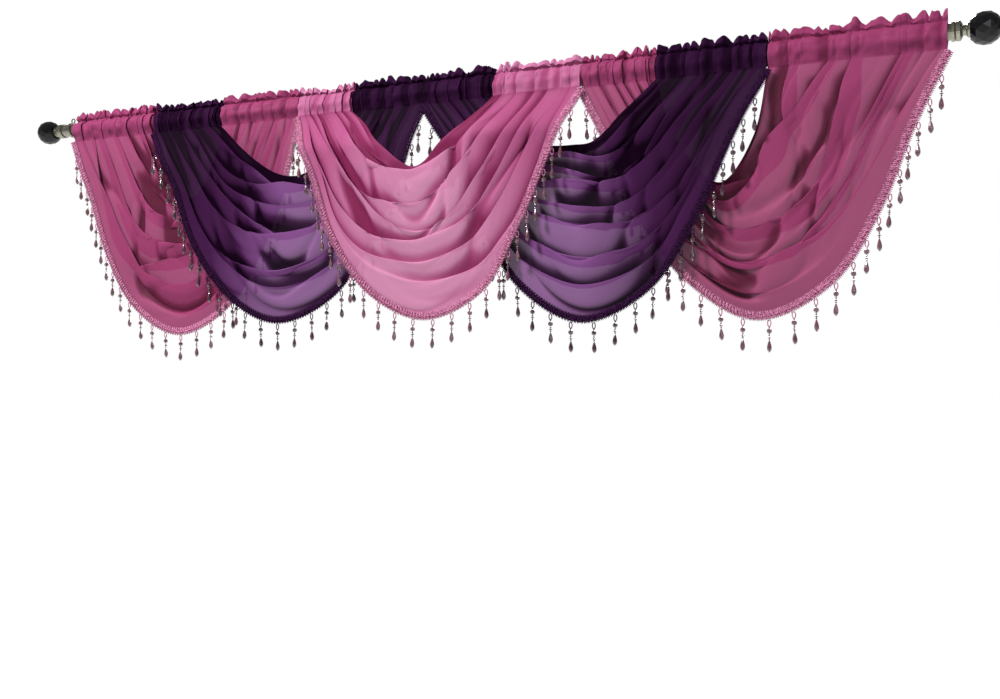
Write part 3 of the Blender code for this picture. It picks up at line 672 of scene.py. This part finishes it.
def noise_on_object(tree, scale, detail=2.0):
    place = add_node(tree, "TexCoord")
    noise = add_node(tree, "TexNoise", Vector=place.outputs["Object"], Scale=scale, Detail=detail)
    return noise.outputs["Fac"]


def add_bump(tree, shader, height, strength, distance):
    bump = add_node(tree, "Bump", Height=height, Strength=strength, Distance=distance)
    fill(tree, shader, Normal=bump.outputs["Normal"])


def slub_tone(tree, uv):
    """Uneven threads: how light the cloth is, about 1, in long thin streaks."""
    stretch = add_node(tree, "Mapping", Vector=uv, Scale=(420.0, 14.0, 1.0))
    slubs = add_node(tree, "TexNoise", Vector=stretch.outputs["Vector"], Scale=1.0, Detail=3.0)
    tone = add_node(
        tree, "MapRange", Value=slubs.outputs["Fac"], From_Min=0.3, From_Max=0.7, To_Min=0.95, To_Max=1.03
    )
    return tone.outputs["Result"]


def plain_weave(tree, uv):
    """The height of the threads of a plain weave."""
    weave = add_node(tree, "Math")
    weave.operation = "MAXIMUM"
    for entry, direction in zip(weave.inputs, ("X", "Y")):
        wave = add_node(tree, "TexWave", Vector=uv, Scale=350.0, Distortion=0.4)
        wave.wave_type = "BANDS"
        wave.bands_direction = direction
        tree.links.new(wave.outputs["Fac"], entry)
    return weave.outputs["Value"]


def voile(name, thin, dense, thin_alpha, sheen, shine):
    """Sheer polyester voile: a plain weave of fine threads, with a soft sheen and slubs. One layer of
    it lets light through, and gathered cloth is deeper in colour and hides what is behind. The same
    deeper colour and cover are put in the folds' valleys as painted shade."""
    made, tree, shader = new_material(
        name, Roughness=0.6, Sheen_Weight=sheen, Sheen_Roughness=0.4, Specular_IOR_Level=shine
    )
    # gathered holds the density with painted valley shade and painted light in it: colour and cover follow it
    gathered = add_node(tree, "Attribute")
    gathered.attribute_name = "gathered"
    layers_and_shade = colour_ramp(tree, gathered.outputs["Fac"], thin, dense)
    between = layers_and_shade.color_ramp.elements.new(0.4)
    between.color = opaque([a**0.6 * b**0.4 for a, b in zip(thin, dense)])
    cover = add_node(
        tree, "MapRange", Value=gathered.outputs["Fac"], From_Max=0.6, To_Min=thin_alpha, To_Max=0.995
    )
    uv = add_node(tree, "UVMap")
    uv.uv_map = "cloth"
    colour = add_node(tree, "VectorMath")
    colour.operation = "SCALE"
    fill(tree, colour, Vector=layers_and_shade.outputs["Color"], Scale=slub_tone(tree, uv.outputs["UV"]))
    fill(
        tree,
        shader,
        Sheen_Tint=opaque([min(1, 1.3 * x + 0.1) for x in thin]),
        Alpha=cover.outputs["Result"],
        Base_Color=colour.outputs["Vector"],
    )
    add_bump(tree, shader, plain_weave(tree, uv.outputs["UV"]), 0.12, 0.0002)
    return made


def yarn(name, light, dark, sheen, shine):
    """Viscose yarn of the braid, with a fine uneven grain and colour."""
    made, tree, shader = new_material(name, Roughness=0.55, Sheen_Weight=sheen, Specular_IOR_Level=shine)
    noise = noise_on_object(tree, 320.0)
    fill(tree, shader, Base_Color=colour_ramp(tree, noise, dark, light, 0.35, 0.65).outputs["Color"])
    add_bump(tree, shader, noise, 0.5, 0.0003)
    return made


def glass_bead(name, light, dark):
    """Smoky acrylic with a slightly uneven tint."""
    made, tree, shader = new_material(
        name, Roughness=0.22, IOR=1.49, Transmission_Weight=0.15, Coat_Weight=0.15
    )
    noise = noise_on_object(tree, 90.0)
    fill(tree, shader, Base_Color=colour_ramp(tree, noise, dark, light, 0.35, 0.65).outputs["Color"])
    return made


def nickel(name):
    """Satin nickel: fine brushing round the pole and a warm, slightly green cast."""
    made, tree, shader = new_material(name, Metallic=1.0)
    place = add_node(tree, "TexCoord")
    stretch = add_node(tree, "Mapping", Vector=place.outputs["Object"], Scale=(900.0, 30.0, 30.0))
    noise = add_node(tree, "TexNoise", Vector=stretch.outputs["Vector"], Scale=1.0, Detail=4.0)
    ramp = colour_ramp(tree, noise.outputs["Fac"], (0.13, 0.127, 0.10), (0.27, 0.265, 0.215))
    rough = add_node(tree, "MapRange", Value=noise.outputs["Fac"], To_Min=0.2, To_Max=0.38)
    fill(tree, shader, Base_Color=ramp.outputs["Color"], Roughness=rough.outputs["Result"])
    return made


def black_glass(name):
    """Black cut glass, polished, with faint smears of handling."""
    black = (0.004, 0.004, 0.005)
    made, tree, shader = new_material(name, IOR=1.5, Specular_IOR_Level=0.2, Base_Color=opaque(black))
    noise = noise_on_object(tree, 60.0, 4.0)
    rough = add_node(tree, "MapRange", Value=noise, From_Min=0.35, From_Max=0.75, To_Min=0.03, To_Max=0.12)
    fill(tree, shader, Roughness=rough.outputs["Result"])
    return made


# The braid: how far from a pocket its droppers begin, half its width, how far its middle line lies
# from the hem, and how far in front of the cloth
BRAID_START = 20 * MM
BRAID_HALF = 9.5 * MM
BRAID_CENTRE = 3.5 * MM
BRAID_FRONT = 1.6 * MM
# The hem's line: the distance of its points, and how many of them a direction is smoothed over
HEM_STEP = 1 * MM
HEM_SMOOTH = 15
# The gimp's cords: how far from the hem's ends they begin, the pitch of a zigzag and its points, their
# radii, and how far in front of the braid's middle they lie, with how much they weave in and out
GIMP_START = 1.0 * MM
GIMP_PITCH = 6.2 * MM
GIMP_STEPS = 6
ZIGZAG_RADIUS = 1.25 * MM
ZIGZAG_INSET = 0.6 * MM
ZIGZAG_POINTED = 0.985
ZIGZAG_FRONTS, ZIGZAG_WEAVE = (1.4 * MM, 0.2 * MM), 0.6 * MM
PLAIT_RADIUS = 1.0 * MM
PLAIT_HALF = 1.6 * MM
PLAIT_FRONT, PLAIT_WEAVE = 1.6 * MM, 0.5 * MM
CORD_RADIUS = 0.9 * MM
CORD_PLACES = (-4.2 * MM, -1.6 * MM, 1.6 * MM, 4.2 * MM)
CORD_FRONT = 0.2 * MM
CORD_STEP = 4
# The droppers: their pitch, where they hang from the braid, how far they swing, then the loop, the
# thread and the beads on it, with the gap between two of them
DROPPER_PITCH = 41 * MM
DROPPER_INSET = 1.5 * MM
DROPPER_FORWARD = 1.0 * MM
DROPPER_SWING = 0.05
LOOP_HEIGHT = 11.5 * MM
LOOP_HALF = 2.9 * MM
LOOP_OPEN = 0.06
LOOP_STEPS = 15
LOOP_RADIUS = 1.0 * MM
THREAD_END = 42 * MM
THREAD_RADIUS = 0.3 * MM
BEADS_UP = 0.5 * MM
BEAD_GAP = 0.4 * MM
BEAD_HOLE = 0.25
SEED_RADIUS = 1.7 * MM
BEAD_RADIUS = 4.7 * MM
DISC_RADIUS = 3.0 * MM
DROP_RADIUS = 4.3 * MM
DROP_LENGTH = 21 * MM
# The disc as rows of (mm below its top, share of its radius), the drop as rows of shares of its length
# and of its radius
DISC = ((0.0, 0.4), (0.6, 0.9), (1.4, 1.0), (2.2, 0.9), (2.8, 0.4))
DROP = (
    (0.0, 0.16), (0.12, 0.42), (0.28, 0.68), (0.46, 0.9), (0.62, 1.0), (0.78, 0.92), (0.9, 0.62), (1.0, 0.15),
)
DROPPER_SEED = 500
FORWARD = np.array([0.0, -1.0, 0.0])
NEAR_ZERO = 1e-9


def hem_line(grid):
    """The hem's points, how far along it they are and, at each, the direction in the cloth's plane
    away from the cloth."""
    hem = grid[2 * POCKET_ROWS : -2 * POCKET_ROWS, -1]
    length = lengths(hem)
    at = np.linspace(0, length[-1], int(length[-1] / HEM_STEP))
    line = sampled(at, length, hem)
    tangent = np.gradient(line, axis=0)
    kernel = np.ones(HEM_SMOOTH) / HEM_SMOOTH
    for k in range(3):
        padded = np.pad(tangent[:, k], HEM_SMOOTH // 2, mode="edge")
        tangent[:, k] = np.convolve(padded, kernel, mode="valid")
    tangent /= np.linalg.norm(tangent, axis=1)[:, None]
    away = np.stack([tangent[:, 2], np.zeros(len(line)), -tangent[:, 0]], axis=-1)
    away /= np.linalg.norm(away, axis=1)[:, None]
    if away[len(away) // 2, 2] > 0:
        away = -away
    return at, line, away


def tube(path, radius, sides=5):
    """Points and faces of a cord along a path."""
    path = np.asarray(path)
    tangent = np.gradient(path, axis=0)
    tangent /= np.maximum(np.linalg.norm(tangent, axis=1)[:, None], NEAR_ZERO)
    side = np.cross(tangent, FORWARD)
    side /= np.maximum(np.linalg.norm(side, axis=1)[:, None], NEAR_ZERO)
    other = np.cross(side, tangent)
    turn = 2 * math.pi * np.arange(sides)[:, None] / sides
    ring = path[:, None] + radius * (np.cos(turn) * side[:, None] + np.sin(turn) * other[:, None])
    k = np.arange(sides)
    first = (np.arange(len(path) - 1) * sides)[:, None]
    after = (k + 1) % sides
    faces = np.stack([first + k, first + after, first + sides + after, first + sides + k], axis=-1)
    return ring.reshape(-1, 3), faces.reshape(-1, 4)


def join(parts):
    """One list of points and one of faces from several."""
    points, faces, start = [], [], 0
    for part_points, part_faces in parts:
        points.append(part_points)
        faces.extend([tuple(int(i) + start for i in face) for face in part_faces])
        start += len(part_points)
    return np.concatenate(points), faces


def braid_piece(swag, grid, material):
    """The gimp: two zigzag cords that cross, a plait down the middle and straight cords beside it."""
    at, line, away = hem_line(grid)
    inside = (at > GIMP_START) & (at < at[-1] - GIMP_START)
    at, line, away = at[inside], line[inside], away[inside]
    steps = np.arange(int((at[-1] - at[0]) / GIMP_PITCH * GIMP_STEPS))
    fine = at[0] + steps * GIMP_PITCH / GIMP_STEPS
    middle = sampled(fine, at, line + away * BRAID_CENTRE + FORWARD * BRAID_FRONT)
    out = sampled(fine, at, away)
    phase = 2 * math.pi * (steps + 0.5) / GIMP_STEPS
    parts = []
    for turn, front in zip((0, math.pi), ZIGZAG_FRONTS):
        zigzag = (2 / math.pi) * np.arcsin(ZIGZAG_POINTED * np.sin(phase + turn))
        swing = (BRAID_HALF - ZIGZAG_INSET) * zigzag
        lift = front + ZIGZAG_WEAVE * np.cos(phase + turn)
        parts.append(tube(middle + out * swing[:, None] + FORWARD * lift[:, None], ZIGZAG_RADIUS))
    for turn in (0, math.pi):
        swing = PLAIT_HALF * np.sin(2 * phase + turn)
        lift = PLAIT_FRONT + PLAIT_WEAVE * np.cos(2 * phase + turn)
        parts.append(tube(middle + out * swing[:, None] + FORWARD * lift[:, None], PLAIT_RADIUS, 4))
    for place in CORD_PLACES:
        parts.append(tube((middle + out * place + FORWARD * CORD_FRONT)[::CORD_STEP], CORD_RADIUS, 4))
    points, faces = join(parts)
    return mesh_piece(swag.name + "_gimp", points, faces, material)


def lathe(profile, sides, turn):
    """Points and faces of a body turned about the Z axis, from rows of (z, radius). Its ends are
    closed."""
    angle = turn + 2 * math.pi * np.arange(sides) / sides
    rings = [np.stack([r * np.cos(angle), r * np.sin(angle), np.full(sides, z)], axis=-1) for z, r in profile]
    faces = []
    for k in range(len(profile) - 1):
        for n in range(sides):
            after = (n + 1) % sides
            faces.append((k * sides + n, k * sides + after, (k + 1) * sides + after, (k + 1) * sides + n))
    faces.append(tuple(range(sides))[::-1])
    last = (len(profile) - 1) * sides
    faces.append(tuple(last + n for n in range(sides)))
    return np.concatenate(rings), faces


def ball_profile(radius, bands):
    angles = np.linspace(BEAD_HOLE, math.pi - BEAD_HOLE, bands)
    return [(radius * math.cos(a) - radius, radius * math.sin(a)) for a in angles]


def bead_stack():
    """The beads of a dropper from the top down, each as rows of (z, radius), its height and sides."""
    seed = (ball_profile(SEED_RADIUS, 5), 2 * SEED_RADIUS, 8)
    bead = (ball_profile(BEAD_RADIUS, 7), 2 * BEAD_RADIUS, 10)
    disc = ([(-below * MM, DISC_RADIUS * width) for below, width in DISC], DISC[-1][0] * MM, 10)
    drop = ([(-share * DROP_LENGTH, DROP_RADIUS * width) for share, width in DROP], DROP_LENGTH, 8)
    return seed, bead, seed, disc, seed, drop


def dropper(root, layer, swing, spin):
    """The loop and the thread of one dropper, and its beads, as lists of (points, faces)."""
    forward = root[1] - float(hang_y(root[2], layer)) - DROPPER_FORWARD

    def hung(below, beside=0.0):
        z = root[2] - below
        return np.array([root[0] + beside + swing * below, float(hang_y(z, layer)) + forward, z])

    turn = np.linspace(LOOP_OPEN * math.pi, (2 - LOOP_OPEN) * math.pi, LOOP_STEPS)
    loop = [hung(LOOP_HEIGHT / 2 * (1 - math.cos(a)), LOOP_HALF * math.sin(a)) for a in turn]
    thread = [hung(LOOP_HEIGHT - LOOP_RADIUS), hung(THREAD_END)]
    beads = []
    top = LOOP_HEIGHT - BEADS_UP
    for profile, height, sides in bead_stack():
        body, faces = lathe(profile, sides, spin)
        beads.append((np.array([hung(top - z) + (x, y, 0) for x, y, z in body]), faces))
        top += height + BEAD_GAP
    return [tube(loop, LOOP_RADIUS), tube(thread, THREAD_RADIUS, 4)], beads


def droppers(swag, grid, bead_material, thread_material):
    """Two pieces: the beads of all droppers of a swag, and their loops and threads."""
    at, line, away = hem_line(grid)
    count = int((at[-1] - 2 * BRAID_START) / DROPPER_PITCH)
    first = (at[-1] - (count - 1) * DROPPER_PITCH) / 2
    rng = np.random.default_rng(DROPPER_SEED + number_of(swag))
    beads, threads = [], []
    for k in range(count):
        place = first + k * DROPPER_PITCH
        below = BRAID_CENTRE + BRAID_HALF - DROPPER_INSET
        root = sampled(place, at, line) + sampled(place, at, away) * below
        swing = rng.uniform(-DROPPER_SWING, DROPPER_SWING)
        spin = rng.uniform(0, math.pi)
        own_threads, own_beads = dropper(root, swag.layer, swing, spin)
        threads.extend(own_threads)
        beads.extend(own_beads)
    bead = mesh_piece(swag.name + "_beads", *join(beads), bead_material)
    bead.data.shade_flat()
    return bead, mesh_piece(swag.name + "_loops", *join(threads), thread_material)


# The materials of each shade, with colours for one layer of cloth and for gathered cloth, which is
# also the painted shade in the valleys, then for the light and the dark places of the yarn and of the beads
SHADES = {
    "pink": dict(
        cloth=voile("voile_pink_weave", (0.245, 0.034, 0.108), (0.080, 0.006, 0.026), 0.97, 0.12, 0.08),
        gimp=yarn("gimp_pink_yarn", (0.66, 0.25, 0.42), (0.24, 0.05, 0.12), 0.1, 0.12),
        beads=glass_bead("beads_rose", (0.19, 0.070, 0.095), (0.09, 0.030, 0.045)),
    ),
    "purple": dict(
        cloth=voile("voile_purple_weave", (0.175, 0.060, 0.195), (0.006, 0.0006, 0.0065), 0.95, 0.02, 0.01),
        gimp=yarn("gimp_purple_yarn", (0.042, 0.008, 0.050), (0.005, 0.001, 0.007), 0.0, 0.03),
        beads=glass_bead("beads_plum", (0.075, 0.024, 0.045), (0.03, 0.010, 0.02)),
    ),
}
# The middle swag hangs against the light: its cloth is painted lighter, as painted light that comes through
# it
LIT_PINK = voile("voile_pink_lit_weave", (0.47, 0.165, 0.30), (0.17, 0.012, 0.062), 0.955, 0.12, 0.08)
NICKEL = nickel("nickel_satin")
GLASS = black_glass("glass_black_cut")


def build_swag(swag):
    """A swag's cloth, its gimp, its beads and its loops, in place of the two solids."""
    shade = SHADES[swag.shade]
    grid, density_and_shade = cloth_grid(swag)
    cloth = mesh_piece(
        swag.name + "_voile",
        grid.reshape(-1, 3),
        grid_faces(*grid.shape[:2]),
        LIT_PINK if swag.name == "swag_3" else shade["cloth"],
        flat_places(grid),
        density_and_shade,
    )
    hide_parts(swag.name)
    gimp = braid_piece(swag, grid, shade["gimp"])
    beads, loops = droppers(swag, grid, shade["beads"], shade["gimp"])
    for piece in (gimp, beads, loops):
        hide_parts(swag.name + "_braid")


def dress_rod():
    """The pole and what is fitted to it keep their solids and get their materials."""
    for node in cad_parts.values():
        if node.name in ("pole", "collar_left", "collar_right", "end_ring"):
            node.material_slots[0].material = NICKEL
        if node.name in ("ball_left", "ball_right"):
            node.material_slots[0].material = GLASS


# The stage: a pale floor well below, an even white world, and the photo's camera
FLOOR_Z = -1.9
FLOOR_SIZE = 60
WHITE = (1, 1, 1, 1)
WORLD_STRENGTH = 0.28
CAMERA_PLACE = (1.0754, -1.9527, -0.518)
CAMERA_TURN = (90, 0, 25.045)
LENS, SENSOR = 40, 36
# The lights: name, place, what they point at, size in metres and power in watts
LIGHTS = (
    ("key", (-1.4, -2.4, 2.3), (0.1, 0, -0.25), 0.7, 225),
    ("back", (0.3, 2.6, 1.1), (0.0, 0, -0.25), 1.2, 110),
    ("fill", (2.4, -2.2, 0.6), (0.2, 0, -0.2), 1.6, 26),
)


def make_floor():
    made, _, _ = new_material(
        "floor_pale",
        Roughness=0.9,
        Base_Color=(0.9, 0.9, 0.9, 1),
        Emission_Color=WHITE,
        Emission_Strength=0.85,
    )
    bpy.ops.mesh.primitive_plane_add(size=FLOOR_SIZE, location=(0, 0, FLOOR_Z))
    floor = bpy.context.object
    floor.name = "floor"
    floor.visible_diffuse = False
    floor.data.materials.append(made)


def area_light(name, place, target, size, power):
    data = bpy.data.lights.new(name, "AREA")
    data.shape = "RECTANGLE"
    data.size = size
    data.size_y = size
    data.energy = power
    made = bpy.data.objects.new(name, data)
    made.location = place
    made.rotation_euler = (Vector(target) - Vector(place)).to_track_quat("-Z", "Y").to_euler()
    bpy.context.scene.collection.objects.link(made)


def make_world():
    """Soft white light from all round, and plain white for the camera."""
    world = bpy.data.worlds.new("studio")
    world.use_nodes = True
    tree = world.node_tree
    soft = fill(tree, tree.nodes["Background"], Color=WHITE, Strength=WORLD_STRENGTH)
    white = add_node(tree, "Background", Color=WHITE)
    rays = add_node(tree, "LightPath")
    mix = add_node(tree, "MixShader", Fac=rays.outputs["Is Camera Ray"])
    tree.links.new(soft.outputs["Background"], mix.inputs[1])
    tree.links.new(white.outputs["Background"], mix.inputs[2])
    fill(tree, tree.nodes["World Output"], Surface=mix.outputs["Shader"])
    bpy.context.scene.world = world


def make_camera():
    data = bpy.data.cameras.new("camera")
    data.lens = LENS
    data.sensor_width = SENSOR
    made = bpy.data.objects.new("camera", data)
    made.location = CAMERA_PLACE
    made.rotation_euler = [math.radians(angle) for angle in CAMERA_TURN]
    bpy.context.scene.collection.objects.link(made)
    bpy.context.scene.camera = made


for swag in SWAGS:
    build_swag(swag)
dress_rod()
make_floor()
make_world()
for light in LIGHTS:
    area_light(*light)
make_camera()
bpy.context.scene.view_settings.view_transform = "Standard"
